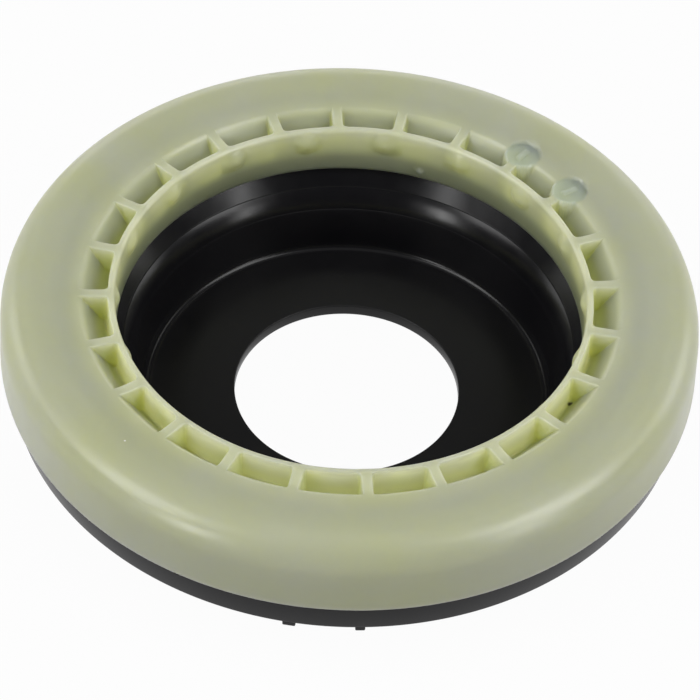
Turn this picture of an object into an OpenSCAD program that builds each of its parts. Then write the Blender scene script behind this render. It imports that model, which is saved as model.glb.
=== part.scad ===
// Suspension strut mount: a moulded upper ring that turns on a moulded lower cup over a row of balls.
// Millimetres, +Z up. The origin is on the axis, at the underside of the cup that the part stands on.
// Angles are counted from the front, which is -Y, counterclockwise seen from above.

/* [Overall] */
// Outside diameter of the upper housing at the foot of its skirt
outer_d = 140; // [126:1:180]
// Height from the underside of the cup to the flat top
height = 32.4; // [30:0.2:44]

/* [Upper housing] */
// Wall of the skirt and of the top
shell_t = 2.2; // [1.6:0.1:2.8]
// Height of the skirt below the flat top
skirt_h = 14.8; // [13.2:0.2:17]
// Radius of the round shoulder between top and skirt
shoulder_r = 6.3; // [4:0.1:8]
// Lean of the skirt, in degrees
skirt_draft = 3.4; // [1:0.2:5]
// Distance from the inner wall's outside to the circle of ball centres
hub_w = 10.4; // [9.4:0.1:13]
// Thickness of the thin inner wall
spigot_t = 1.3; // [1:0.1:1.8]
// Length of the inner wall below the hub's underside
spigot_reach = 2.2; // [1.6:0.1:3]
// Step from the flat top down to the ribs and the inner wall
rib_drop = 1.2; // [0.6:0.1:1.8]

/* [Ribs and pockets] */
// Number of radial ribs
rib_count = 24; // [12:1:30]
// Thickness of a rib
rib_t = 2.1; // [1.4:0.1:3]
// Angle of the first rib
rib_turn = 5.3; // [0:0.1:15]
// Width of a pocket across its mouth, along the radius
pocket_w = 5.6; // [4.6:0.1:6.4]
// Depth of a pocket below the rib tops
pocket_depth = 6.5; // [5:0.1:7.4]
// Width of a pocket's floor, along the radius
pocket_floor_w = 1.4; // [0.8:0.1:2.4]
// Flat between a pocket's mouth and the round lip of the top
pocket_land = 0.2; // [0.1:0.05:0.5]
// Thickness of material under a pocket's floor
hub_t = 2.3; // [1.8:0.1:2.8]

/* [Lugs and mould marks] */
// Number of snap lugs inside the inner wall
lug_count = 18; // [6:1:24]
// Width of a lug where it meets the wall
lug_d = 4.4; // [3:0.1:5.4]
// Height of a lug above the wall
lug_h = 1.5; // [0.8:0.1:2]
// Depth of a lug's middle below the top of the wall
lug_drop = 3.3; // [2.8:0.1:5]
// Angle of the first lug
lug_turn = 13.2; // [0:0.1:20]
// Diameter of a round mould stamp
stamp_d = 7.2; // [5:0.1:8.8]
// Number of the first rib that ends in a stamp
stamp_first_rib = 8; // [0:1:10]
// Number of neighbouring ribs that end in a stamp
stamp_count = 2; // [1:1:4]
// Length of the raised mark in a stamp
mark_l = 3.6; // [2:0.1:4.4]
// Width of the raised mark in a stamp
mark_w = 0.8; // [0.5:0.1:1.2]
// Height of the raised mark in a stamp
mark_h = 0.25; // [0.15:0.05:0.5]
// Angle of the gate mark inside the inner wall
gate_turn = 163.4; // [155:0.2:172]
// Diameter of the ball that the gate mark is a cap of
gate_d = 1.8; // [1.2:0.1:2.4]
// Height of the gate mark off the wall
gate_h = 0.5; // [0.3:0.05:0.8]
// Height of the gate mark's middle above the foot of the wall
gate_rise = 2.2; // [1.4:0.1:4]

/* [Bearing] */
// Distance from the foot of the skirt in to the circle of ball centres
ball_inset = 11.5; // [10.8:0.1:14]
// Diameter of a ball
ball_d = 5.5; // [4.8:0.1:6]
// Number of balls, each a solid of its own
ball_count = 36; // [24:1:42]
// Thickness of a stamped race
race_t = 1.2; // [0.9:0.1:1.5]
// Angle of ball section that each race wraps
race_wrap = 110; // [90:1:116]
// Angle by which a race's seat runs on past the race
seat_margin = 10; // [4:1:14]
// Depth of the upper race's seat above the underside of the top
race_recess = 0.25; // [0.1:0.05:0.6]
// Thickness of the cage
cage_t = 1.8; // [1.2:0.1:2.2]
// Material of the cage above and below a ball pocket
cage_rim = 0.8; // [0.5:0.1:1]

/* [Lower housing] */
// Diameter of the hole in the cup's floor
hole_d = 46.2; // [38:0.2:54]
// Thickness of the floor round the hole
floor_t = 2.6; // [2.2:0.1:4]
// Height of the raised land round the hole
land_h = 1.1; // [0.4:0.1:1.4]
// Width of the lower ring of floor between the land and the cup's wall
floor_ring_w = 6.7; // [5:0.1:8.4]
// Radius between the cup's wall and its floor, inside and outside
cup_fillet = 1.4; // [0.8:0.1:2.2]
// Wall of the cup
cup_t = 2.4; // [1.8:0.1:3]
// Lean of the cup's wall, in degrees
cup_draft = 17.2; // [10:0.2:22]
// Depth of the funnel below the foot of the inner wall
throat_drop = 4; // [3:0.1:5]
// Lean of the funnel from the axis, in degrees
funnel_lean = 35; // [28:0.5:42]
// Fine step under the funnel
throat_step = 0.2; // [0.1:0.05:0.4]
// Height of the throat between the fine step and the cup's wall
throat_h = 2; // [1:0.1:3]
// Lean of the throat, in degrees
throat_draft = 11.6; // [5:0.2:16]
// Thickness of the funnel's lip
lip_t = 1.7; // [1.2:0.1:2.2]
// Distance of the rim inside the foot of the skirt
rim_inset = 1.8; // [0.8:0.1:2.4]
// Height of the rim
rim_h = 6.5; // [5.4:0.1:8]
// Wall of the rim where it stands below the spring seat
rim_t = 2.8; // [2:0.1:3.4]
// Height of the spring seat above the rim's lower edge
seat_lift = 4; // [2:0.1:4.8]
// Thickness between the spring seat and the seal trough
flange_t = 3.7; // [2.6:0.1:4.4]
// Wall outside the lower race
ring_t = 1.8; // [1.2:0.1:2.2]
// Width of a nub under the rim
nub_w = 2.2; // [1.4:0.1:3]
// Height of a nub under the rim
nub_h = 1; // [0.6:0.1:1.6]
// Depth of a nub along the radius
nub_l = 1.8; // [1.2:0.1:2.4]
// Angle of the first nub
nub_turn = -7.3; // [-12:0.1:-5]
// Angle between the two nubs
nub_pitch = 11.2; // [6:0.1:14]

/* [Seals] */
// Thickness of a seal
seal_t = 1.1; // [0.8:0.1:1.3]

/* [Clearances] */
// Gap between a ball and the races
ball_play = 0.1; // [0.06:0.01:0.16]
// Gap between a ball and its cage pocket
cage_play = 0.15; // [0.1:0.01:0.25]
// Gap between a race or a seal and its seat
seat_play = 0.05; // [0.03:0.01:0.08]
// Gap between the skirt's foot and the rim
skirt_gap = 0.95; // [0.5:0.05:1.3]
// Gap between the inner wall's foot and the funnel
spigot_gap = 0.4; // [0.3:0.05:0.6]
// Gap between the hub's underside and the funnel's lip
hub_gap = 0.9; // [0.6:0.1:1.2]
// Gap between a seal's lip and the face it runs by
lip_gap = 0.3; // [0.2:0.05:0.4]
// Distance of a nub inside the rim's face
nub_inset = 0.1; // [0.05:0.05:0.4]

/* [Hidden] */
$fn = 96;
arc_steps = 12;
ball_names = [for (i = [1:ball_count]) str("ball_", i < 10 ? "0" : "", i)];

// Overlap that makes cuts and joins clean
overlap = 0.2;
nylon = [0.66, 0.67, 0.55];
black_plastic = [0.08, 0.08, 0.085];
steel = [0.62, 0.63, 0.65];
cage_plastic = [0.32, 0.28, 0.22];
seal_rubber = [0.05, 0.05, 0.05];

// Radii that both housings share
outer_r = outer_d / 2;
pitch_r = outer_r - ball_inset;
spigot_out = pitch_r - hub_w;
spigot_r = spigot_out - spigot_t;

// Ball row and race seats
ball_r = ball_d / 2;
race_in = ball_r + ball_play;
race_out = race_in + race_t;
seat_r = race_out + seat_play;
top_under = height - shell_t;
ball_z = top_under + race_recess - seat_r;
upper_contact = 135;
lower_contact = 315;
cage_tilt = 45;
seat_half = race_wrap / 2 + seat_margin;
// Share of the seat's radius at which an outline enters the seat's cut
seat_entry = 0.9;

// Upper housing
wall_top = height - rib_drop;
wall_round = spigot_t / 3;
skirt_foot = height - skirt_h;
shoulder_z = height - shoulder_r;
shoulder_x = skirt_r(shoulder_z) - shoulder_r / cos(skirt_draft);
pocket_r = spigot_out + pocket_w;
lip_r = pocket_r + pocket_land;
pocket_floor = wall_top - pocket_depth;
hub_foot = pocket_floor - hub_t;
spigot_foot = hub_foot - spigot_reach;
lug_ball_r = (pow(lug_d / 2, 2) + pow(lug_h, 2)) / (2 * lug_h);
stamp_angles = [for (i = [0:stamp_count - 1]) rib_angle(stamp_first_rib + i)];

// Lower housing
rim_r = outer_r - rim_inset;
rim_in = rim_r - rim_t;
rim_top = skirt_foot - skirt_gap;
rim_foot = rim_top - rim_h;
spring_seat = rim_foot + seat_lift;
trough_z = spring_seat + flange_t;
ring_out = pitch_r + seat_r + ring_t;
ring_top = ball_z + seat_r * sin(lower_contact + seat_half);
ring_in = seat_point(lower_contact - seat_half)[0];
lip_top = hub_foot - hub_gap;
lip_out = funnel_r(lip_top) + lip_t;
throat_z = spigot_foot - throat_drop;
throat_r = funnel_r(throat_z);
step_r = throat_r - throat_step;
cup_top = throat_z - throat_h;
cup_top_r = step_r - throat_h * tan(throat_draft);
floor_ring_z = floor_t - land_h;
land_foot_r = cup_r(floor_ring_z) - floor_ring_w;
hole_r = hole_d / 2;

// Radius of the skirt's outside at a height
function skirt_r(z) = outer_r - (z - skirt_foot) * tan(skirt_draft);
// Radius of the skirt's inside at a height
function skirt_in(z) = skirt_r(z) - shell_t / cos(skirt_draft);
// Radius of the funnel at a height, clear of the inner wall's foot
function funnel_r(z) = spigot_out + spigot_gap / cos(funnel_lean) + (z - spigot_foot) * tan(funnel_lean);
// Radius of the cup's inside at a height
function cup_r(z) = cup_top_r - (cup_top - z) * tan(cup_draft);
// Radius of the cup's outside at a height
function cup_out(z) = cup_r(z) + cup_t / cos(cup_draft);
// Point of an outline just inside a race seat, at an angle round the ball's section
function seat_point(a) = [pitch_r, ball_z] + seat_entry * seat_r * [cos(a), sin(a)];
// Points on an arc about [x, z], from angle a to angle b
function arc(x, z, r, a, b) =
    [for (i = [0:arc_steps]) let (t = a + (b - a) * i / arc_steps) [x + r * cos(t), z + r * sin(t)]];
// Angle of a rib, a lug or a ball by its number
function rib_angle(i) = rib_turn + i * 360 / rib_count;
function lug_angle(i) = lug_turn + i * 360 / lug_count;
function ball_angle(i) = i * 360 / ball_count;

// Moves children out along the radius at an angle counted from the front
module at_angle(turn, radius, z) {
    rotate([0, 0, turn - 90]) translate([radius, 0, z]) children();
}

// Circle about the ball's centre in the section
module ball_circle(r) {
    translate([pitch_r, ball_z]) circle(r);
}

// Block that starts at a radius, centred on its width
module radial_block(l, w, h) {
    translate([0, -w / 2, 0]) cube([l, w, h]);
}

// Section of the upper housing before pockets: inner wall, hub, race seat, top, shoulder and skirt
module upper_section() {
    seat_end = seat_point(upper_contact + seat_half);
    difference() {
        polygon(concat(
            [[spigot_r, spigot_foot], [spigot_out, spigot_foot], [spigot_out, hub_foot],
             [seat_end[0] - shell_t, hub_foot], seat_end, [pitch_r, ball_z], [pitch_r, top_under]],
            arc(shoulder_x, shoulder_z, shoulder_r - shell_t, 90, skirt_draft),
            [[skirt_in(skirt_foot), skirt_foot], [skirt_r(skirt_foot), skirt_foot]],
            arc(shoulder_x, shoulder_z, shoulder_r, skirt_draft, 90),
            arc(lip_r + rib_drop, wall_top, rib_drop, 90, 180),
            arc(spigot_r + wall_round, wall_top - wall_round, wall_round, 90, 180)));
        ball_circle(seat_r);
    }
}

// Section of the ring of pockets, before the ribs part it
module pocket_section() {
    polygon([[spigot_out, wall_top + overlap], [spigot_out, pocket_floor],
             [spigot_out + pocket_floor_w, pocket_floor], [pocket_r, wall_top], [pocket_r, wall_top + overlap]]);
}

// Rib from the inner wall to past the pocket, up to the rib tops
module rib(turn) {
    at_angle(turn, spigot_out - overlap, pocket_floor - overlap)
        radial_block(pocket_w + 2 * overlap, rib_t, pocket_depth + overlap);
}

// Round post at the end of a rib, which carries a stamp
module stamp_post(turn) {
    at_angle(turn, lip_r, pocket_floor - overlap) cylinder(d = stamp_d, h = pocket_depth + overlap);
}

// Round notch over a stamp, down to the rib tops
module stamp_notch(turn) {
    at_angle(turn, lip_r, wall_top) cylinder(d = stamp_d, h = rib_drop + overlap);
}

// Plain raised mark along the radius in a stamp
module stamp_mark(turn) {
    at_angle(turn, lip_r - mark_l / 2, wall_top - overlap) radial_block(mark_l, mark_w, mark_h + overlap);
}

// Cap of a ball that stands out of the inner wall
module wall_bump(turn, z, bump_r, bump_h) {
    intersection() {
        at_angle(turn, spigot_r + bump_r - bump_h, z) sphere(bump_r);
        cylinder(r = spigot_r + spigot_t / 2, h = height);
    }
}

module upper_housing() {
    color(nylon) {
        difference() {
            rotate_extrude() upper_section();
            difference() {
                rotate_extrude() pocket_section();
                for (i = [0:rib_count - 1]) rib(rib_angle(i));
                for (turn = stamp_angles) stamp_post(turn);
            }
            for (turn = stamp_angles) stamp_notch(turn);
        }
        for (turn = stamp_angles) stamp_mark(turn);
        for (i = [0:lug_count - 1]) wall_bump(lug_angle(i), wall_top - lug_drop, lug_ball_r, lug_h);
        wall_bump(gate_turn, spigot_foot + gate_rise, gate_d / 2, gate_h);
    }
}

// Section of the lower housing: cup, spring seat, rim, race seat, seal trough and funnel
module lower_section() {
    base_x = cup_out(cup_fillet) - cup_fillet / cos(cup_draft);
    floor_z = floor_ring_z + cup_fillet;
    floor_x = cup_r(floor_z) - cup_fillet / cos(cup_draft);
    difference() {
        polygon(concat(
            [[hole_r, 0]],
            arc(base_x, cup_fillet, cup_fillet, 270, 360 - cup_draft),
            [[cup_out(spring_seat), spring_seat], [rim_in, spring_seat], [rim_in, rim_foot], [rim_r, rim_foot],
             [rim_r, rim_top], [ring_out, rim_top], [ring_out, ring_top], [pitch_r, ring_top], [pitch_r, ball_z],
             seat_point(lower_contact - seat_half), [ring_in, trough_z], [lip_out, trough_z], [lip_out, lip_top],
             [funnel_r(lip_top), lip_top], [throat_r, throat_z], [step_r, throat_z], [cup_top_r, cup_top]],
            arc(floor_x, floor_z, cup_fillet, -cup_draft, -90),
            [[land_foot_r, floor_ring_z], [land_foot_r - land_h, floor_t], [hole_r, floor_t]]));
        ball_circle(seat_r);
    }
}

// Small block under the rim's lower edge
module nub(turn) {
    at_angle(turn, rim_r - nub_inset - nub_l, rim_foot - nub_h) radial_block(nub_l, nub_w, nub_h + overlap);
}

module lower_housing() {
    color(black_plastic) {
        rotate_extrude() lower_section();
        nub(nub_turn);
        nub(nub_turn + nub_pitch);
    }
}

// Section of a stamped race about the ball, centred on its contact angle
module race_section(contact) {
    half = race_wrap / 2;
    reach = 2 * race_out;
    intersection() {
        difference() {
            ball_circle(race_out);
            ball_circle(race_in);
        }
        translate([pitch_r, ball_z])
            polygon([[0, 0], reach * [cos(contact - half), sin(contact - half)],
                     reach * [cos(contact), sin(contact)], reach * [cos(contact + half), sin(contact + half)]]);
    }
}

module upper_race() {
    color(steel) rotate_extrude() race_section(upper_contact);
}

module lower_race() {
    color(steel) rotate_extrude() race_section(lower_contact);
}

module ball_cage() {
    pocket_ball_r = ball_r + cage_play;
    cage_w = 2 * (pocket_ball_r + cage_rim);
    color(cage_plastic)
        difference() {
            rotate_extrude()
                translate([pitch_r, ball_z]) rotate(cage_tilt) square([cage_w, cage_t], center = true);
            for (i = [0:ball_count - 1]) at_angle(ball_angle(i), pitch_r, ball_z) sphere(pocket_ball_r);
        }
}

module ball(i) {
    color(steel) at_angle(ball_angle(i), pitch_r, ball_z) sphere(ball_r);
}

// Rubber ring in the trough, with a lip that runs by the hub's underside
module inner_seal() {
    seal_in = lip_out + seat_play;
    seal_out = ring_in - seat_play;
    lip_z = hub_foot - lip_gap;
    color(seal_rubber)
        rotate_extrude()
            polygon([[seal_in, trough_z], [seal_out, trough_z], [seal_out, trough_z + seal_t],
                     [seal_in + 2 * seal_t, trough_z + seal_t], [seal_in + 2 * seal_t, lip_z],
                     [seal_in + seal_t, lip_z], [seal_in, trough_z + 2 * seal_t]]);
}

// Rubber ring on the rim, with a lip that runs by the skirt's inside
module outer_seal() {
    seal_in = ring_out + seat_play;
    lip_z = rim_top + 3 * seal_t;
    lip_end = skirt_in(lip_z) - lip_gap;
    color(seal_rubber)
        rotate_extrude()
            polygon([[seal_in, rim_top], [seal_in + seal_t, rim_top], [seal_in + seal_t, rim_top + seal_t],
                     [lip_end, lip_z - seal_t / 2], [lip_end, lip_z], [seal_in, rim_top + 2 * seal_t]]);
}

upper_housing();
lower_housing();
upper_race();
lower_race();
ball_cage();
inner_seal();
outer_seal();
for (i = [0:ball_count - 1]) ball(i);
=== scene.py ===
"""Looks of the strut mount: refined mouldings, procedural materials, studio light and the photo's camera."""

import math

import bmesh
import bpy
import numpy as np
from mathutils import Matrix, Vector


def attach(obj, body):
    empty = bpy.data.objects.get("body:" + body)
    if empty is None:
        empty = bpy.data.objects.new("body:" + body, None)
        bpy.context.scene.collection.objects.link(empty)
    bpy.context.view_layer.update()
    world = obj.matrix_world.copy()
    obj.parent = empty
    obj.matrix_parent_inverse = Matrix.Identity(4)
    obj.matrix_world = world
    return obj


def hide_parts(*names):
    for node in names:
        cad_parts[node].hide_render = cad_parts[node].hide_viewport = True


MM = 0.001

# Sizes of the section, in millimetres, as in the part's source
OUTER_R = 70.0
HEIGHT = 32.4
SHELL_T = 2.2
SKIRT_FOOT = 17.6
SHOULDER_R = 6.3
SKIRT_DRAFT = math.radians(3.4)
SPIGOT_T = 1.3
SPIGOT_OUT = 48.1
RIB_DROP = 1.2
RIB_COUNT = 24
RIB_HALF = 1.05
RIB_TURN = 5.3
POCKET_R = 53.7
POCKET_LAND = 0.2
POCKET_DEPTH = 6.5
POCKET_FLOOR_W = 1.4
HUB_T = 2.3
SPIGOT_REACH = 2.2
LUG_COUNT = 18
LUG_DROP = 3.3
LUG_TURN = 13.2
STAMP_RIBS = (8, 9)
GATE_TURN = 163.4
GATE_DROP = 8.8
PITCH_R = 58.5
BALL_Z = 26.35
SEAT_R = 4.1
HOLE_R = 23.1
FLOOR_T = 2.6
LAND_H = 1.1
CUP_T = 2.4
CUP_DRAFT = math.radians(17.2)
THROAT_DROP = 4.0
FUNNEL_LEAN = math.radians(35)
THROAT_STEP = 0.2
SPIGOT_GAP = 0.4
LIP_T = 1.7
HUB_GAP = 0.9
RIM_R = 68.2
RIM_T = 2.8
RIM_TOP = 16.65
RIM_H = 6.5
SEAT_LIFT = 4.0
FLANGE_T = 3.7
RING_T = 1.8
NUB_H = 1.0
NUB_L = 1.8
NUB_INSET = 0.1

# Small sizes that follow the photo more closely than the part's source does
LUG_RISE = 0.9
LUG_REACH = 2.4
STAMP_R = 3.75
GATE_R = 0.95
GATE_H = 0.4
# Each nub's place, in degrees from the front, and its width
NUBS = ((-7.3, 2.5), (4.0, 1.9))

# Levels and radii that follow from them
WALL_TOP = HEIGHT - RIB_DROP
SPIGOT_R = SPIGOT_OUT - SPIGOT_T
POCKET_FLOOR = WALL_TOP - POCKET_DEPTH
HUB_FOOT = POCKET_FLOOR - HUB_T
SPIGOT_FOOT = HUB_FOOT - SPIGOT_REACH
STAMP_CENTRE_R = POCKET_R + POCKET_LAND
RIB_PITCH = 2 * math.pi / RIB_COUNT

# Roundings and soft forms of the upper housing
RAMP_IN = 51.0
RAMP_OUT = 61.4
LIP_R = 53.35
LIP_ROUND = 0.9
FLOOR_ROUND = 1.2
RIB_ROUND = 0.3
RIB_DRAFT = math.radians(3.2)
RIB_SIDE = 0.4
RIB_FLARE = 0.9
RIB_END_R = POCKET_R + 1.0
WALL_ROUND = 0.5
SPIGOT_ROUND = 0.8
SPIGOT_FLARE = 0.45
SPIGOT_TAPER = 0.4
EDGE_BEVEL = 0.25
SKIRT_BEVEL = 0.2
BUMP_SOFT = 0.8
LEAST_BUMP = 0.02
UPPER_SEAT_FROM = 200

# A stamp's disc and the raised pointer on it
STAMP_STEEP = 9.0
STAMP_LIFT = 0.2
STAMP_ROUND = 0.8
STAMP_EDGE_IN = 0.25
STAMP_EDGE_OUT = 0.15
POINTER_H = 0.45
POINTER_HALF = 0.35
POINTER_FLARE = 0.2
POINTER_FLARE_SPAN = (-1.0, 1.4)
POINTER_EDGE_IN = 0.3
POINTER_EDGE_OUT = 0.1
POINTER_ENDS = (1.5, 1.9)

# Points on rounded edges, as distances across and along from the sharp corner
SKIRT_EDGE = ((0.45, 0.0), (0.13, 0.06), (0.03, 0.3))
SPIGOT_EDGE = ((-0.02, 0.16), (0.1, 0.04))
SPIGOT_FOOT_EDGE = ((0.1, 0.1), (0.35, 0.0))

# Rings of the upper housing: how many, and how far the first and last lie from the ends of their stretch
SKIRT_RINGS = 3
SKIRT_FIRST = 1.2
SKIRT_LAST = 0.8
RAMP_RINGS = (RAMP_OUT, 60.0, 58.8)
TOP_SPANS = (
    (57.9, LIP_R + 0.85, 11),
    (LIP_R + 0.65, LIP_R - 0.65, 8),
    (LIP_R - 0.95, SPIGOT_OUT + 0.75, 11),
)
WALL_RINGS = 7
WALL_FIRST = 0.25
WALL_LAST = 0.45
TAPER_FIRST = 0.25
INNER_RINGS = 26
INNER_FIRST = 0.3
INNER_LAST = 0.35

# Half widths of the stretches with close columns, and the columns' spacing on a stamp
LUG_SPAN = 2.3
GATE_SPAN = 1.0
STAMP_SPAN = 4.5
STAMP_COLUMN_W = 0.36

# Fades of the painted glow, light and shade on the ribs and pockets, in millimetres below the ribs' tops or
# along the radius
NEAR_TOP = (1.3, 0.2)
THIN_GLOW_RADII = (55.5, 50.5)
THIN_GLOW_POCKET = 0.35
THIN_GLOW_RIB = 0.65
SLOPE_IN = (0.1, 1.5)
SLOPE_OUT = (6.0, 2.5)
WALL_LIT_IN = (0.1, 0.8)
WALL_LIT_OUT = (5.0, 1.0)
EDGE_LIT_W = 0.2

# Fades of the marks on the inner wall, painted glow and painted shade, as shares of the way down it
INNER_THIN_GLOW = (0.1, 0.6)
INNER_LOW = (0.12, 0.90)
INNER_LIT = (0.36, 0.04)
GLOW_IN = (0.05, 0.25)
GLOW_OUT = (0.75, 0.40)
EDGE_GLOW = 0.04
WALL_GLOW = 0.25

# Roundings and soft forms of the lower housing, with angles in degrees
THROAT_ROUND = 12.0
THROAT_FROM = 45
THROAT_TO = 22
THROAT_EDGE_TURN = 0.3
THROAT_BEND_TURN = 3
BEND_ROUND = 0.6
CUP_WALL_LEAN = 6.5
FLOOR_CONE_W = 8.0
CUP_FLOOR_R = 40.5
LAND_R = 33.5
LAND_FADE = 1.0
LEVEL_SLACK = 0.01
SEAT_FROM = 20
SEAT_TO = -109
RING_TURN = 250
RING_REACH = 0.9
NUB_SINK = 0.2
NUB_ROUND = 0.25


def polar_points(centre, radius, start, end, count):
    """Points on an arc in the section, by angles in degrees."""
    angles = np.radians(np.linspace(start, end, count))
    return [(centre[0] + radius * math.cos(a), centre[1] + radius * math.sin(a)) for a in angles]


def rounded(points, radii, steps=4):
    """A closed outline with its corners rounded to the given radii."""
    result = []
    count = len(points)
    for i, corner in enumerate(points):
        radius = radii[i]
        here = np.array(corner, float)
        if radius <= 0:
            result.append(tuple(here))
            continue
        back = np.array(points[i - 1], float) - here
        ahead = np.array(points[(i + 1) % count], float) - here
        reach = min(radius, 0.45 * np.linalg.norm(back), 0.45 * np.linalg.norm(ahead))
        start = here + back / np.linalg.norm(back) * reach
        end = here + ahead / np.linalg.norm(ahead) * reach
        for t in np.linspace(0, 1, steps):
            result.append(tuple((1 - t) ** 2 * start + 2 * t * (1 - t) * here + t ** 2 * end))
    return result


def soft_max(a, b, width):
    """The larger of two values, with the corner between them rounded over a width."""
    h = np.clip(0.5 + 0.5 * (a - b) / width, 0, 1)
    return b * (1 - h) + a * h + width * h * (1 - h)


def smooth_step(low, high, x):
    """0 at low, 1 at high, and smooth between, also where high is the smaller of the two."""
    t = np.clip((x - low) / (high - low), 0, 1)
    return t * t * (3 - 2 * t)


def torus_mesh(name, grid):
    """Closed mesh from a grid of points, rings by columns, that joins up both ways."""
    rings, columns = grid.shape[:2]
    index = np.arange(rings * columns).reshape(rings, columns)
    right = np.roll(index, -1, axis=1)
    below = np.roll(index, -1, axis=0)
    corner = np.roll(right, -1, axis=0)
    quads = np.stack([index, below, corner, right], axis=-1).reshape(-1, 4)
    mesh = bpy.data.meshes.new(name)
    mesh.from_pydata((grid.reshape(-1, 3) * MM).tolist(), [], quads.tolist())
    mesh.polygons.foreach_set("use_smooth", [True] * len(quads))
    mesh.update()
    return mesh


def add_marks(mesh, marks):
    """Keeps a value for each point of a mesh under each name, for its material to read."""
    for name, values in marks.items():
        attribute = mesh.attributes.new(name, "FLOAT", "POINT")
        attribute.data.foreach_set("value", values.reshape(-1).astype(np.float32))


def add_piece(name, mesh, body, node, material):
    """Object that stands for a CAD node and rides on its body."""
    piece = bpy.data.objects.new(name, mesh)
    bpy.context.scene.collection.objects.link(piece)
    mesh.materials.append(material)
    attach(piece, body)
    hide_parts(node)


def front_angle(x):
    """Math angle, in radians, of an angle in degrees counted from the front."""
    return math.radians(x - 90)


# Upper housing

def skirt_r(z):
    return OUTER_R - (z - SKIRT_FOOT) * math.tan(SKIRT_DRAFT)


def shoulder_centre():
    z = HEIGHT - SHOULDER_R
    return skirt_r(z) - SHOULDER_R / math.cos(SKIRT_DRAFT), z


def crest(r):
    """Height of the ribs' tops, and of the gentle ramp from them up to the flat top."""
    return WALL_TOP + RIB_DROP * smooth_step(RAMP_IN, RAMP_OUT, r)


def top_profile(r):
    """Height over the radius between two ribs: the ramp, a round lip, then a pocket's slope and floor."""
    slope = POCKET_DEPTH / (POCKET_R - SPIGOT_OUT - POCKET_FLOOR_W)
    wall = WALL_TOP + (r - LIP_R) * slope
    lip = -soft_max(-wall, -crest(r), LIP_ROUND)
    return soft_max(lip, np.full_like(r, POCKET_FLOOR), FLOOR_ROUND)


def rib_fall(across):
    """How far a rib's side lies below its top, at an offset across it: a round edge, then a drafted side."""
    into = np.clip((np.abs(across) - RIB_HALF) / RIB_ROUND + 1, 0, 1)
    edge = RIB_ROUND * (1 - np.sqrt(1 - into ** 2))
    side = np.clip(np.abs(across) - RIB_HALF, 0, None) / math.tan(RIB_DRAFT)
    return edge + side


def rib_offsets():
    """Offsets across a rib, in millimetres, close together at its edges."""
    turn = np.radians(np.linspace(0, 90, 5))
    edge = RIB_HALF - RIB_ROUND + RIB_ROUND * np.sin(turn)
    side = RIB_HALF + np.linspace(0, RIB_SIDE, 4)[1:]
    half = np.concatenate([edge, side])
    return np.concatenate([-half[::-1], [0.0], half])


def rib_flare(r):
    """How much wider a rib is on each side where it runs into the inner wall."""
    into = np.clip((SPIGOT_OUT + RIB_FLARE - r) / RIB_FLARE, 0, 1)
    return RIB_FLARE * (1 - math.sqrt(1 - into ** 2))


def rib_angle(rib):
    return front_angle(RIB_TURN) + rib * RIB_PITCH


def lug_turns():
    """Angles of the lugs on the inner wall, in degrees from the front."""
    return [LUG_TURN + i * 360 / LUG_COUNT for i in range(LUG_COUNT)]


def fine_angles():
    """Angles where the inner wall or a stamp needs columns close together."""
    angles = []
    for turn in lug_turns():
        angles += list(front_angle(turn) + np.linspace(-LUG_SPAN, LUG_SPAN, 8) / SPIGOT_R)
    angles += list(front_angle(GATE_TURN) + np.linspace(-GATE_SPAN, GATE_SPAN, 6) / SPIGOT_R)
    across = np.arange(-STAMP_SPAN, STAMP_SPAN + STAMP_COLUMN_W / 2, STAMP_COLUMN_W)
    for rib in STAMP_RIBS:
        angles += list(rib_angle(rib) + across / SPIGOT_OUT)
    return np.array(angles)


def pocket_shares(rib, spacing=0.16, count=9):
    """Places across the pocket after a rib, from 0 to 1, close together by the ribs and at fine details."""
    edge = (RIB_HALF + RIB_SIDE) / SPIGOT_OUT
    width = RIB_PITCH - 2 * edge
    turn = (fine_angles() - rib_angle(rib) - edge) % (2 * math.pi)
    shares = list((1 - np.cos(np.pi * np.arange(1, count + 1) / (count + 1))) / 2)
    for share in sorted(turn[turn < width] / width):
        gap = min(abs(share - s) for s in shares + [0.0, 1.0])
        if gap * width * SPIGOT_OUT > spacing:
            shares.append(share)
    return sorted(shares)


def upper_columns():
    """For each column: its rib's angle, its offset across the rib and its share of the pocket after it."""
    columns = []
    for rib in range(RIB_COUNT):
        offsets = rib_offsets()
        columns += [(rib_angle(rib), u, 0.0) for u in offsets]
        columns += [(rib_angle(rib), offsets[-1], t) for t in pocket_shares(rib)]
    return np.array(columns)


def top_radii():
    """Radii of the rings across the ramp, the lip and the pockets, from the outside in."""
    radii = list(RAMP_RINGS)
    for start, end, count in TOP_SPANS:
        radii += list(np.linspace(start, end, count))
    return radii


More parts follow.
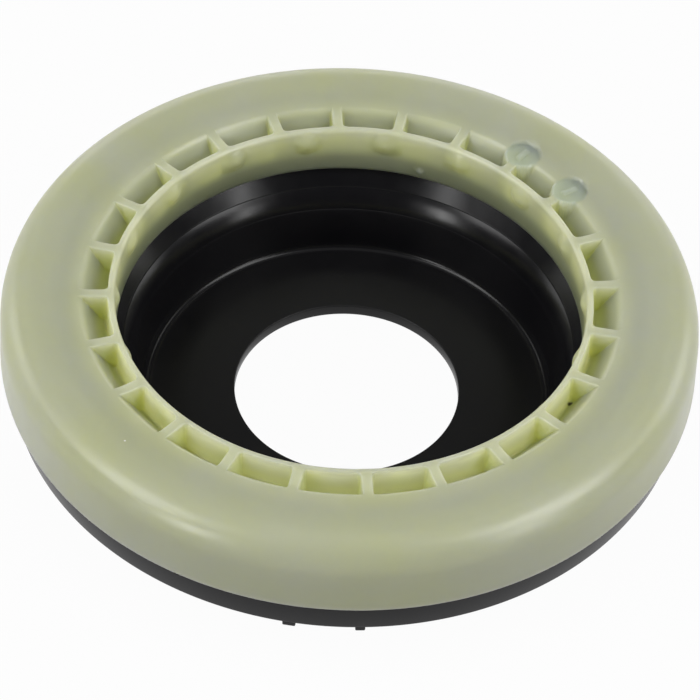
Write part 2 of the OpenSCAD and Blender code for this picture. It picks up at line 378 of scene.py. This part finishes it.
def upper_rings():
    """Rings of the section, as (r, z, part), up the hidden side from the skirt's foot and back over the top."""
    centre = shoulder_centre()
    draft = math.degrees(SKIRT_DRAFT)
    rings = []

    def add(points, part):
        rings.extend((r, z, part) for r, z in points)

    foot_out = skirt_r(SKIRT_FOOT)
    foot_in = foot_out - SHELL_T / math.cos(SKIRT_DRAFT)
    add([(foot_out - inset, SKIRT_FOOT + rise) for inset, rise in SKIRT_EDGE], "plain")
    skirt_z = np.linspace(SKIRT_FOOT + SKIRT_FIRST, centre[1] - SKIRT_LAST, SKIRT_RINGS)
    add([(skirt_r(z), z) for z in skirt_z], "plain")
    add(polar_points(centre, SHOULDER_R, draft, 90, 12), "plain")
    add([(r, HEIGHT) for r in top_radii()], "top")
    wall_z = np.linspace(POCKET_FLOOR + WALL_FIRST, WALL_TOP - WALL_LAST, WALL_RINGS)
    taper = np.linspace(TAPER_FIRST, 1, WALL_RINGS)
    add([(SPIGOT_OUT + SPIGOT_FLARE - SPIGOT_TAPER * t, z) for t, z in zip(taper, wall_z)], "wall")
    add([(SPIGOT_OUT - inset, WALL_TOP - drop) for inset, drop in SPIGOT_EDGE], "wall")
    add([(SPIGOT_OUT - EDGE_BEVEL, WALL_TOP)], "edge")
    edge = (SPIGOT_R + SPIGOT_ROUND, WALL_TOP - SPIGOT_ROUND)
    add(polar_points(edge, SPIGOT_ROUND, 90, 180, 6), "edge")
    inner_z = np.linspace(edge[1] - INNER_FIRST, SPIGOT_FOOT + INNER_LAST, INNER_RINGS)
    add([(SPIGOT_R, z) for z in inner_z], "inner")
    add([(SPIGOT_R + inset, SPIGOT_FOOT + rise) for inset, rise in SPIGOT_FOOT_EDGE], "plain")
    add([(SPIGOT_OUT - EDGE_BEVEL, SPIGOT_FOOT), (SPIGOT_OUT, SPIGOT_FOOT + EDGE_BEVEL)], "plain")
    seat_end = PITCH_R + SEAT_R * math.cos(math.radians(UPPER_SEAT_FROM))
    add([(SPIGOT_OUT, HUB_FOOT), (seat_end - SHELL_T, HUB_FOOT)], "plain")
    top_under = HEIGHT - SHELL_T
    last = math.degrees(math.asin((top_under - BALL_Z) / SEAT_R))
    add(polar_points((PITCH_R, BALL_Z), SEAT_R, UPPER_SEAT_FROM, last, 8), "plain")
    add(polar_points(centre, SHOULDER_R - SHELL_T, 90, draft, 5), "plain")
    add([(foot_in, SKIRT_FOOT + SKIRT_BEVEL), (foot_in + EDGE_BEVEL, SKIRT_FOOT)], "plain")
    return rings[::-1]


def stamp_share(x, y):
    """1 inside a stamp's disc and 0 outside it, the distance past its edge, and its raised pointer."""
    share = np.zeros_like(x)
    past = np.full_like(x, OUTER_R)
    mark = np.zeros_like(x)
    for rib in STAMP_RIBS:
        angle = rib_angle(rib)
        along = x * math.cos(angle) + y * math.sin(angle) - STAMP_CENTRE_R
        across = -x * math.sin(angle) + y * math.cos(angle)
        distance = np.hypot(along, across)
        disc = 1 - smooth_step(STAMP_R - STAMP_EDGE_IN, STAMP_R + STAMP_EDGE_OUT, distance)
        share = np.maximum(share, disc)
        past = np.minimum(past, np.clip(distance - STAMP_R, 0, None))
        half = POINTER_HALF + POINTER_FLARE * smooth_step(*POINTER_FLARE_SPAN, along)
        bar = 1 - smooth_step(half - POINTER_EDGE_IN, half + POINTER_EDGE_OUT, np.abs(across))
        ends = 1 - smooth_step(*POINTER_ENDS, np.abs(along))
        mark = np.maximum(mark, POINTER_H * bar * ends)
    return share, past, mark


def wall_bumps(theta, z):
    """Height of the lugs and of the gate mark off the inner wall."""
    ball_r = (LUG_REACH ** 2 + LUG_RISE ** 2) / (2 * LUG_RISE)
    height = np.zeros_like(theta)
    bumps = [(turn, WALL_TOP - LUG_DROP, ball_r, LUG_RISE) for turn in lug_turns()]
    bumps.append((GATE_TURN, WALL_TOP - GATE_DROP, GATE_R, GATE_H))
    for turn, middle, radius, rise in bumps:
        across = (theta - front_angle(turn) + math.pi) % (2 * math.pi) - math.pi
        distance = np.hypot(across * SPIGOT_R, z - middle)
        cap = np.sqrt(np.clip(radius ** 2 - distance ** 2, 0, None)) - radius + rise
        height = np.maximum(height, soft_max(cap, np.zeros_like(cap), BUMP_SOFT * rise))
    return np.where(height < LEAST_BUMP, 0.0, height)


def shaped_top(radius, height, theta, across, part):
    """Heights of a ring that crosses the ribs and pockets, and where it lies on a stamp."""
    base = top_profile(radius) if part == "top" else height
    ridge = crest(radius)
    result = np.minimum(soft_max(base, ridge - rib_fall(across), WALL_ROUND), ridge)
    inside, past, mark = stamp_share(radius * np.cos(theta), radius * np.sin(theta))
    level = WALL_TOP + STAMP_LIFT
    foot = soft_max(result, level - past * STAMP_STEEP, STAMP_ROUND)
    result = np.maximum(result, np.minimum(foot, level))
    return result * (1 - inside) + (level + mark) * inside, inside


def top_marks(part, r, across, share, below, inside):
    """What the material reads on the top, the ribs, the pockets and the wall's outer face: painted glow on thin
    nylon and deep in the pockets, painted shade on the pockets' outer slopes and painted light on the wall's
    outer face.
    """
    on_rib = smooth_step(RIB_HALF + RIB_SIDE, RIB_HALF, np.abs(across))
    level = smooth_step(*NEAR_TOP, below) * smooth_step(*THIN_GLOW_RADII, r)
    marks = {
        "pocket": np.clip(below / POCKET_DEPTH, 0, 1),
        "thin": level * (THIN_GLOW_POCKET + THIN_GLOW_RIB * on_rib),
        "stamp": inside,
    }
    if r > SPIGOT_OUT + POCKET_FLOOR_W:
        marks["slope"] = smooth_step(*SLOPE_IN, below) * smooth_step(*SLOPE_OUT, below) * (share > 0)
    if part == "wall":
        marks["lit"] = smooth_step(*WALL_LIT_OUT, below) * smooth_step(*WALL_LIT_IN, below)
    return marks


def inner_marks(height):
    """What the material reads on the inner wall: painted glow in its upper part and painted shade towards its
    foot.
    """
    drop = (WALL_TOP - height) / (WALL_TOP - SPIGOT_FOOT)
    return {
        "thin": 1 - smooth_step(*INNER_THIN_GLOW, drop),
        "low": smooth_step(*INNER_LOW, drop),
        "lit": EDGE_GLOW * smooth_step(*INNER_LIT, drop),
        "pocket": WALL_GLOW * smooth_step(*GLOW_IN, drop) * smooth_step(*GLOW_OUT, drop),
    }


def edge_marks(r):
    """What the material reads on the inner wall's top edge: painted glow."""
    return {"thin": 1.0, "lit": EDGE_GLOW * smooth_step(SPIGOT_OUT - EDGE_LIT_W, SPIGOT_R, r)}


def upper_grid():
    """Grid of points of the upper housing, and what the material reads at each point."""
    columns = upper_columns()
    rings = upper_rings()
    shape = (len(rings), len(columns))
    grid = np.zeros((*shape, 3))
    marks = {name: np.zeros(shape) for name in ("pocket", "slope", "thin", "low", "lit", "stamp")}
    rib, across, share = columns.T
    for i, (r, z, part) in enumerate(rings):
        reach = min(max(r, SPIGOT_OUT), RIB_END_R)
        edge = (across + np.sign(across) * rib_flare(reach)) / reach
        theta = np.where(share > 0, rib + edge + share * (RIB_PITCH - 2 * edge), rib + edge)
        radius = np.full_like(theta, r)
        height = np.full_like(theta, z)
        found = {}
        if part in ("top", "wall"):
            height, inside = shaped_top(radius, height, theta, across, part)
            found = top_marks(part, r, across, share, crest(radius) - height, inside)
        if part == "inner":
            radius = radius - wall_bumps(theta, height)
            found = inner_marks(height)
        if part == "edge":
            found = edge_marks(r)
        for name, values in found.items():
            marks[name][i] = values
        grid[i, :, 0] = radius * np.cos(theta)
        grid[i, :, 1] = radius * np.sin(theta)
        grid[i, :, 2] = height
    return grid, marks


def make_upper(material):
    grid, marks = upper_grid()
    mesh = torus_mesh("upper_moulding", grid)
    add_marks(mesh, marks)
    add_piece("upper_moulding", mesh, "upper", "upper_housing", material)


# Lower housing

def funnel_r(z):
    return SPIGOT_OUT + SPIGOT_GAP / math.cos(FUNNEL_LEAN) + (z - SPIGOT_FOOT) * math.tan(FUNNEL_LEAN)


def throat_arcs(top_r, top_z):
    """Points from the throat's upper edge round the throat and a small knee to the head of the cup's wall."""
    start = math.radians(THROAT_FROM)
    bend = (top_r + THROAT_ROUND * math.cos(start), top_z - THROAT_ROUND * math.sin(start))
    first = 180 - THROAT_FROM
    end = 180 - THROAT_TO
    points = polar_points(bend, THROAT_ROUND, first, first + THROAT_EDGE_TURN, 2)
    points += polar_points(bend, THROAT_ROUND, first + THROAT_BEND_TURN, end, 8)
    turn = math.radians(end)
    inset = THROAT_ROUND - BEND_ROUND
    knee = (bend[0] + inset * math.cos(turn), bend[1] + inset * math.sin(turn))
    return points + polar_points(knee, BEND_ROUND, end, 180 - CUP_WALL_LEAN, 4)[1:]


def lower_outline():
    """Section of the lower housing with its edges rounded, counterclockwise from the hole's lower edge."""
    throat_z = SPIGOT_FOOT - THROAT_DROP
    throat_r = funnel_r(throat_z)
    throat = throat_arcs(throat_r - THROAT_STEP, throat_z)
    wall_r, wall_z = throat[-1]
    lean = math.tan(math.radians(CUP_WALL_LEAN))
    throat.append((wall_r - BEND_ROUND * lean, wall_z - BEND_ROUND))
    floor_ring = FLOOR_T - LAND_H
    foot_r = wall_r - (wall_z - floor_ring) * lean

    def cup_out(z):
        return foot_r + (CUP_T + (z - floor_ring) * math.sin(CUP_DRAFT)) / math.cos(CUP_DRAFT)

    rim_foot = RIM_TOP - RIM_H
    spring_seat = rim_foot + SEAT_LIFT
    trough = spring_seat + FLANGE_T
    ring_out = PITCH_R + SEAT_R + RING_T
    ring_in = PITCH_R + RING_REACH * SEAT_R * math.cos(math.radians(RING_TURN))
    ring_low = BALL_Z - math.sqrt(SEAT_R ** 2 - (PITCH_R - ring_in) ** 2)
    ring_top = BALL_Z + SEAT_R * math.sin(math.radians(SEAT_FROM))
    lip_top = HUB_FOOT - HUB_GAP
    lip_in = funnel_r(lip_top)
    # Each corner is a radius, a height and its rounding
    corners = [
        (HOLE_R, 0, 0.3), (cup_out(0), 0, 1.8), (cup_out(spring_seat), spring_seat, 0.8),
        (RIM_R - RIM_T, spring_seat, 0.6), (RIM_R - RIM_T, rim_foot, 0.4), (RIM_R, rim_foot, 0.45),
        (RIM_R, RIM_TOP, 0.35), (ring_out, RIM_TOP, 0.4), (ring_out, ring_top, 0.4),
    ]
    seat = polar_points((PITCH_R, BALL_Z), SEAT_R, SEAT_FROM, SEAT_TO, 10)
    corners += [(r, z, 0) for r, z in seat]
    corners += [
        (ring_in, ring_low, 0.0), (ring_in, trough, 0.4), (lip_in + LIP_T, trough, 0.4),
        (lip_in + LIP_T, lip_top, 0.4), (lip_in, lip_top, 0.4), (throat_r, throat_z, 0.06),
    ]
    corners += [(r, z, 0) for r, z in throat]
    corners += [
        (foot_r, floor_ring, 1.8), (foot_r - FLOOR_CONE_W, FLOOR_T, 3.0), (HOLE_R, FLOOR_T, 0.35),
    ]
    points = [c[:2] for c in corners]
    return rounded(points, [c[2] for c in corners], 5)


def lower_grid(columns=480):
    outline = np.array(lower_outline())[::-1]
    theta = np.arange(columns) * 2 * math.pi / columns
    grid = np.zeros((len(outline), columns, 3))
    grid[:, :, 0] = outline[:, :1] * np.cos(theta)
    grid[:, :, 1] = outline[:, :1] * np.sin(theta)
    grid[:, :, 2] = outline[:, 1:]
    return grid


def lower_marks(grid):
    """What the material reads on the cup's floor and on the land round the hole, where a painted reflection
    makes the black lighter.
    """
    height = grid[..., 2]
    radius = np.hypot(grid[..., 0], grid[..., 1])
    low = (height > 0.5 * FLOOR_T) & (height < FLOOR_T + LEVEL_SLACK)
    land = smooth_step(LAND_R + LAND_FADE, LAND_R - LAND_FADE, radius)
    return {"cup_floor": low & (radius < CUP_FLOOR_R), "land": low * land}


def add_nub(mesh, turn, width):
    """Adds a small rounded block under the rim to a mesh."""
    work = bmesh.new()
    work.from_mesh(mesh)
    place = Matrix.Rotation(front_angle(turn), 4, "Z")
    low = RIM_TOP - RIM_H - NUB_H
    tall = NUB_H + NUB_SINK
    centre = Vector((RIM_R - NUB_INSET - NUB_L / 2, 0, low + tall / 2)) * MM
    scale = Matrix.Diagonal((NUB_L * MM, width * MM, tall * MM, 1))
    made = bmesh.ops.create_cube(work, size=1.0, matrix=place @ Matrix.Translation(centre) @ scale)
    edges = list({e for v in made["verts"] for e in v.link_edges})
    bevel = bmesh.ops.bevel(work, geom=edges, offset=NUB_ROUND * MM, segments=3, affect="EDGES", profile=0.5)
    for face in bevel["faces"]:
        face.smooth = True
    work.to_mesh(mesh)
    work.free()


def make_lower(material):
    grid = lower_grid()
    mesh = torus_mesh("lower_moulding", grid)
    add_marks(mesh, lower_marks(grid))
    for turn, width in NUBS:
        add_nub(mesh, turn, width)
    add_piece("lower_moulding", mesh, "lower", "lower_housing", material)


# Materials

CREAM = (0.408, 0.422, 0.292)
CREAM_WARM = (0.404, 0.420, 0.240)
# Painted glow of light through thin nylon
PALE_GLOW = (0.400, 0.416, 0.284)
# Painted glow deep in the pockets and partway down the inner wall
YELLOW_GLOW = (0.600, 0.640, 0.290)
# Painted shade on the pockets' outer slopes
SLOPE_SHADE = (0.355, 0.372, 0.250)
GATE = (0.310, 0.330, 0.215)
# Painted light on the wall's outer face and the inner wall's top
LIT = (0.650, 0.684, 0.372)
SHADE = (0.225, 0.247, 0.125)
COOL = (0.338, 0.380, 0.278)
# Painted shadow in a deep pocket corner
CORNER_SHADOW = (0.030, 0.030, 0.024)
CHALK = (0.800, 0.800, 0.780)
BLACK = (0.0038, 0.0037, 0.0046)
BLACK_SOFT = (0.0052, 0.0050, 0.0058)
# Painted reflection that lightens the land round the hole
BLACK_LAND_REFLECTION = (0.0072, 0.0072, 0.0077)
STEEL = (0.52, 0.53, 0.54)
STEEL_LIGHT = (0.60, 0.60, 0.60)
CAGE_BROWN = (0.105, 0.078, 0.046)
CAGE_DARK = (0.085, 0.062, 0.036)
RUBBER = (0.010, 0.010, 0.010)
RUBBER_GREY = (0.016, 0.016, 0.015)

# Share of a pocket's depth over which its painted glow grows
POCKET_GLOW = (0.03, 0.7)

# Places of small spots, in millimetres, and their radii
# A painted shadow deep in a pocket's corner by the inner wall
SHADOW_SPOT = (43.55, -22.5, 24.9)
SHADOW_SPOT_R = 0.7
WHITE_SPECK = (-40.77, -43.99, 32.4)
WHITE_SPECK_R = 0.25
GATE_SPOT_R = 1.1

# Roughness, with each range of a seen surface on one side of 0.27, where denoised renders would show flakes
NYLON_ROUGH = (0.29, 0.35)
BLACK_ROUGH = (0.20, 0.26)
CUP_FLOOR_ROUGH = (0.40, 0.48)
STEEL_ROUGH = (0.16, 0.30)
CAGE_ROUGH = (0.42, 0.55)
RUBBER_ROUGH = (0.55, 0.72)

NYLON_IOR = 1.5
BLACK_IOR = 1.32
SCATTER = (1.0, 0.95, 0.60)
SCATTER_DEPTH = 0.014


class Nodes:
    """Short helpers to build one material's nodes."""

    def __init__(self, name):
        self.material = bpy.data.materials.new(name)
        self.material.use_nodes = True
        self.tree = self.material.node_tree
        self.shader = self.tree.nodes["Principled BSDF"]
        self.place = self.add("ShaderNodeTexCoord").outputs["Object"]

    def add(self, kind, **inputs):
        node = self.tree.nodes.new(kind)
        for name, value in inputs.items():
            self.feed(node.inputs[name.replace("_", " ")], value)
        return node

    def feed(self, socket, value):
        if isinstance(value, bpy.types.NodeSocket):
            self.tree.links.new(value, socket)
        elif socket.type == "RGBA":
            socket.default_value = (*value, 1.0)
        else:
            socket.default_value = value

    def noise(self, scale, detail):
        node = self.add("ShaderNodeTexNoise", Vector=self.place, Scale=scale, Detail=detail)
        return node.outputs["Fac"]

    def attribute(self, name):
        node = self.tree.nodes.new("ShaderNodeAttribute")
        node.attribute_name = name
        return node.outputs["Fac"]

    def near(self, point, radius):
        """1 at a point of the object, in millimetres, fading to 0 at a radius from it."""
        node = self.tree.nodes.new("ShaderNodeVectorMath")
        node.operation = "DISTANCE"
        self.feed(node.inputs[0], self.place)
        self.feed(node.inputs[1], [v * MM for v in point])
        return self.ramp(node.outputs["Value"], 0.5 * radius * MM, radius * MM, 1.0, 0.0)

    def ramp(self, factor, low, high, at_low=0.0, at_high=1.0):
        node = self.add("ShaderNodeMapRange", Value=factor, From_Min=low, From_Max=high)
        self.feed(node.inputs["To Min"], at_low)
        self.feed(node.inputs["To Max"], at_high)
        return node.outputs["Result"]

    def mix(self, factor, a, b):
        node = self.tree.nodes.new("ShaderNodeMix")
        node.data_type = "RGBA"
        self.feed(node.inputs[0], factor)
        self.feed(node.inputs[6], a)
        self.feed(node.inputs[7], b)
        return node.outputs[2]

    def clouds(self, scale, a, b):
        """Two colours in soft clouds."""
        return self.mix(self.ramp(self.noise(scale, 4.0), 0.35, 0.65), a, b)

    def mottle(self, scale, detail, low=0.0, high=1.0):
        """A value that wanders between two others."""
        return self.ramp(self.noise(scale, detail), 0.3, 0.7, low, high)

    def bump(self, height, strength, distance):
        node = self.add("ShaderNodeBump", Height=height, Strength=strength, Distance=distance)
        self.set(Normal=node.outputs["Normal"])

    def set(self, **values):
        for name, value in values.items():
            self.feed(self.shader.inputs[name.replace("_", " ")], value)


def gate_place():
    """Point of the gate mark on the inner wall, in millimetres."""
    angle = front_angle(GATE_TURN)
    return SPIGOT_R * math.cos(angle), SPIGOT_R * math.sin(angle), WALL_TOP - GATE_DROP


def natural_nylon():
    n = Nodes("natural_nylon")
    base = n.clouds(45.0, CREAM, CREAM_WARM)
    # Painted glow where the nylon is thin: rib tops, the inner wall's top and its edge
    base = n.mix(n.attribute("thin"), base, PALE_GLOW)
    # Painted shade, darker towards the inner wall's foot
    base = n.mix(n.attribute("low"), base, SHADE)
    # Painted glow deep in the pockets and partway down the inner wall
    base = n.mix(n.ramp(n.attribute("pocket"), *POCKET_GLOW), base, YELLOW_GLOW)
    # Painted shade on the pockets' outer slopes
    base = n.mix(n.attribute("slope"), base, SLOPE_SHADE)
    # Painted light on the wall's outer face and on the inner wall's top
    base = n.mix(n.attribute("lit"), base, LIT)
    base = n.mix(n.attribute("stamp"), base, COOL)
    base = n.mix(n.near(gate_place(), GATE_SPOT_R), base, GATE)
    # Painted shadow in a deep pocket corner
    base = n.mix(n.near(SHADOW_SPOT, SHADOW_SPOT_R), base, CORNER_SHADOW)
    base = n.mix(n.near(WHITE_SPECK, WHITE_SPECK_R), base, CHALK)
    n.set(Base_Color=base, Roughness=n.mottle(160.0, 3.0, *NYLON_ROUGH), IOR=NYLON_IOR)
    n.set(Subsurface_Weight=1.0, Subsurface_Radius=SCATTER, Subsurface_Scale=SCATTER_DEPTH)
    n.bump(n.noise(60.0, 1.0), 0.10, 0.0004)
    return n.material


def black_nylon():
    n = Nodes("black_nylon")
    # The land is lighter by a painted reflection
    base = n.mix(n.attribute("land"), n.clouds(70.0, BLACK, BLACK_SOFT), BLACK_LAND_REFLECTION)
    on_floor = n.attribute("cup_floor")
    limits = [n.ramp(on_floor, 0.0, 1.0, wall, floor) for wall, floor in zip(BLACK_ROUGH, CUP_FLOOR_ROUGH)]
    n.set(Base_Color=base, Roughness=n.mottle(220.0, 4.0, *limits), IOR=BLACK_IOR)
    n.bump(n.noise(80.0, 1.0), 0.05, 0.0003)
    return n.material


def bearing_steel():
    n = Nodes("bearing_steel")
    n.set(Base_Color=n.mix(n.mottle(300.0, 5.0), STEEL, STEEL_LIGHT), Metallic=1.0)
    n.set(Roughness=n.mottle(900.0, 3.0, *STEEL_ROUGH))
    return n.material


def cage_nylon():
    n = Nodes("cage_nylon")
    n.set(Base_Color=n.clouds(180.0, CAGE_BROWN, CAGE_DARK))
    n.set(Roughness=n.mottle(600.0, 3.0, *CAGE_ROUGH))
    n.bump(n.noise(1500.0, 2.0), 0.08, 0.0003)
    return n.material


def seal_rubber():
    n = Nodes("seal_rubber")
    n.set(Base_Color=n.clouds(200.0, RUBBER, RUBBER_GREY))
    n.set(Roughness=n.mottle(500.0, 3.0, *RUBBER_ROUGH))
    n.bump(n.noise(2000.0, 2.0), 0.1, 0.0003)
    return n.material


def dress_inner_nodes(frame):
    """Gives the bearing's own solids their materials."""
    steel = bearing_steel()
    made = {"ball_cage": cage_nylon(), "inner_seal": seal_rubber()}
    made["outer_seal"] = made["inner_seal"]
    for name, node in frame["nodes"].items():
        if name in ("upper_housing", "lower_housing"):
            continue
        node.data.materials.clear()
        node.data.materials.append(made.get(name, steel))


# Stage, in metres

CAMERA_DISTANCE = 0.51691
CAMERA_LIFT = math.radians(45.200)
CAMERA_PAN = math.radians(0.052)
CAMERA_TILT = math.radians(1.356)
CAMERA_ROLL = math.radians(2.829)
# Lens and sensor in millimetres
CAMERA_LENS = 134.03
SENSOR_W = 36.0
CLIP_START = 0.01

AMBIENT = 0.10
STAGE_R = 3.0
STAGE_SIDES = 48
BACKDROP_H = 0.5
FLOOR_DROP = 0.0002
WHITE_SHARE = 0.97
# The floor's grey under the part, where shade is painted, and out in the open, and the shares of the part's
# radius where it changes
FLOOR_GREYS = (0.12, 0.36)
FLOOR_SPAN = (0.85, 1.05)

# Soft boxes: name, azimuth and elevation in degrees, distance, width, height and power in watts
LIGHTS = (
    ("ceiling", 90, 88, 1.3, 1.6, 1.6, 2.8),
    ("left_panel", 198, 46, 1.3, 0.6, 0.7, 8.5),
    ("right_panel", 342, 46, 1.3, 0.6, 0.7, 8.7),
    ("left_strip", 227, 22, 1.2, 0.18, 0.42, 3.5),
    ("right_strip", 324, 22, 1.2, 0.18, 0.42, 2.1),
    ("left_rear", 155, 20, 1.3, 0.5, 0.5, 2.6),
    ("right_rear", 25, 20, 1.3, 0.5, 0.5, 3.0),
    ("backdrop", 90, 16, 1.4, 1.6, 0.5, 3.6),
)


def make_camera():
    """Camera of the photo: its place above the inner wall's top, its pan, tilt and roll."""
    data = bpy.data.cameras.new("camera")
    data.lens = CAMERA_LENS
    data.sensor_width = SENSOR_W
    data.clip_start = CLIP_START
    camera = bpy.data.objects.new("camera", data)
    bpy.context.scene.collection.objects.link(camera)
    place = Vector((0, -math.cos(CAMERA_LIFT), math.sin(CAMERA_LIFT))) * CAMERA_DISTANCE
    place.z += WALL_TOP * MM
    fall = CAMERA_LIFT + CAMERA_TILT
    ahead = Vector((math.sin(CAMERA_PAN), math.cos(CAMERA_PAN), 0))
    forward = ahead * math.cos(fall) - Vector((0, 0, math.sin(fall)))
    right = forward.cross(Vector((0, 0, 1))).normalized()
    up = right.cross(forward)
    side = right * math.cos(CAMERA_ROLL) + up * math.sin(CAMERA_ROLL)
    top = up * math.cos(CAMERA_ROLL) - right * math.sin(CAMERA_ROLL)
    camera.matrix_world = Matrix.Translation(place) @ Matrix((side, top, -forward)).transposed().to_4x4()
    bpy.context.scene.camera = camera


def area_light(name, azimuth, elevation, distance, width, height, power):
    """Soft box at a direction from the object, aimed at it."""
    data = bpy.data.lights.new(name, "AREA")
    data.shape = "RECTANGLE"
    data.size = width
    data.size_y = height
    data.energy = power
    lamp = bpy.data.objects.new(name, data)
    bpy.context.scene.collection.objects.link(lamp)
    a = math.radians(azimuth)
    e = math.radians(elevation)
    lamp.location = Vector((math.cos(a) * math.cos(e), math.sin(a) * math.cos(e), math.sin(e))) * distance
    lamp.rotation_euler = lamp.location.to_track_quat("Z", "Y").to_euler()


def make_world():
    """A dim even light on the object."""
    world = bpy.data.worlds.new("studio")
    bpy.context.scene.world = world
    world.use_nodes = True
    background = world.node_tree.nodes["Background"]
    background.inputs["Color"].default_value = (1, 1, 1, 1)
    background.inputs["Strength"].default_value = AMBIENT


def floor_shade(tree):
    """Light grey of the floor, darker right under the part, where little light gets in."""
    place = tree.nodes.new("ShaderNodeTexCoord")
    length = tree.nodes.new("ShaderNodeVectorMath")
    length.operation = "LENGTH"
    shade = tree.nodes.new("ShaderNodeMapRange")
    shade.inputs["From Min"].default_value = FLOOR_SPAN[0] * OUTER_R * MM
    shade.inputs["From Max"].default_value = FLOOR_SPAN[1] * OUTER_R * MM
    shade.inputs["To Min"].default_value = FLOOR_GREYS[0]
    shade.inputs["To Max"].default_value = FLOOR_GREYS[1]
    tree.links.new(place.outputs["Object"], length.inputs[0])
    tree.links.new(length.outputs["Value"], shade.inputs["Value"])
    return shade.outputs["Result"]


def seen_share(tree):
    """How white the stage is to a ray: to the camera, in reflections and through glass."""
    path = tree.nodes.new("ShaderNodeLightPath")
    seen = path.outputs["Is Camera Ray"]
    for kind in ("Is Glossy Ray", "Is Transmission Ray"):
        either = tree.nodes.new("ShaderNodeMath")
        either.operation = "MAXIMUM"
        tree.links.new(seen, either.inputs[0])
        tree.links.new(path.outputs[kind], either.inputs[1])
        seen = either.outputs[0]
    share = tree.nodes.new("ShaderNodeMath")
    share.operation = "MULTIPLY"
    share.inputs[1].default_value = WHITE_SHARE
    tree.links.new(seen, share.inputs[0])
    return share.outputs[0]


def floor_mesh():
    """A round floor with a low wall standing along its edge."""
    mesh = bpy.data.meshes.new("floor")
    turns = np.arange(STAGE_SIDES) * 2 * math.pi / STAGE_SIDES
    low = [(STAGE_R * math.cos(a), STAGE_R * math.sin(a), 0.0) for a in turns]
    high = [(x, y, BACKDROP_H) for x, y, z in low]
    ahead = [(i + 1) % STAGE_SIDES for i in range(STAGE_SIDES)]
    walls = [(i, j, STAGE_SIDES + j, STAGE_SIDES + i) for i, j in enumerate(ahead)]
    mesh.from_pydata(low + high, [], [tuple(range(STAGE_SIDES))] + walls)
    return mesh


def floor_material():
    """White where it is seen, and matt grey to the light that it sends back."""
    material = bpy.data.materials.new("floor")
    material.use_nodes = True
    tree = material.node_tree
    tree.nodes.clear()
    output = tree.nodes.new("ShaderNodeOutputMaterial")
    matt = tree.nodes.new("ShaderNodeBsdfDiffuse")
    tree.links.new(floor_shade(tree), matt.inputs["Color"])
    white = tree.nodes.new("ShaderNodeEmission")
    mix = tree.nodes.new("ShaderNodeMixShader")
    tree.links.new(seen_share(tree), mix.inputs[0])
    tree.links.new(matt.outputs[0], mix.inputs[1])
    tree.links.new(white.outputs[0], mix.inputs[2])
    tree.links.new(mix.outputs[0], output.inputs["Surface"])
    return material


def make_floor():
    """Plain floor with a low backdrop round it that keeps a faint shadow."""
    mesh = floor_mesh()
    floor = bpy.data.objects.new("floor", mesh)
    bpy.context.scene.collection.objects.link(floor)
    floor.location.z = -FLOOR_DROP
    mesh.materials.append(floor_material())


def make_lights():
    for light in LIGHTS:
        area_light(*light)


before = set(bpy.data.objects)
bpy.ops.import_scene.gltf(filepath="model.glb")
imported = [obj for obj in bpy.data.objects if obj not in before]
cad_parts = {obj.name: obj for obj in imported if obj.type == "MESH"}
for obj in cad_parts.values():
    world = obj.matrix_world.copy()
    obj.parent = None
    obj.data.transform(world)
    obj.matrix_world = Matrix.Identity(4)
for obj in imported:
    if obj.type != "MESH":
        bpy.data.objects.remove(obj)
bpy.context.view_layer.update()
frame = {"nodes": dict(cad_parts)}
bpy.context.scene.view_settings.view_transform = "Standard"
make_camera()
make_world()
make_floor()
make_lights()
make_upper(natural_nylon())
make_lower(black_nylon())
dress_inner_nodes(frame)
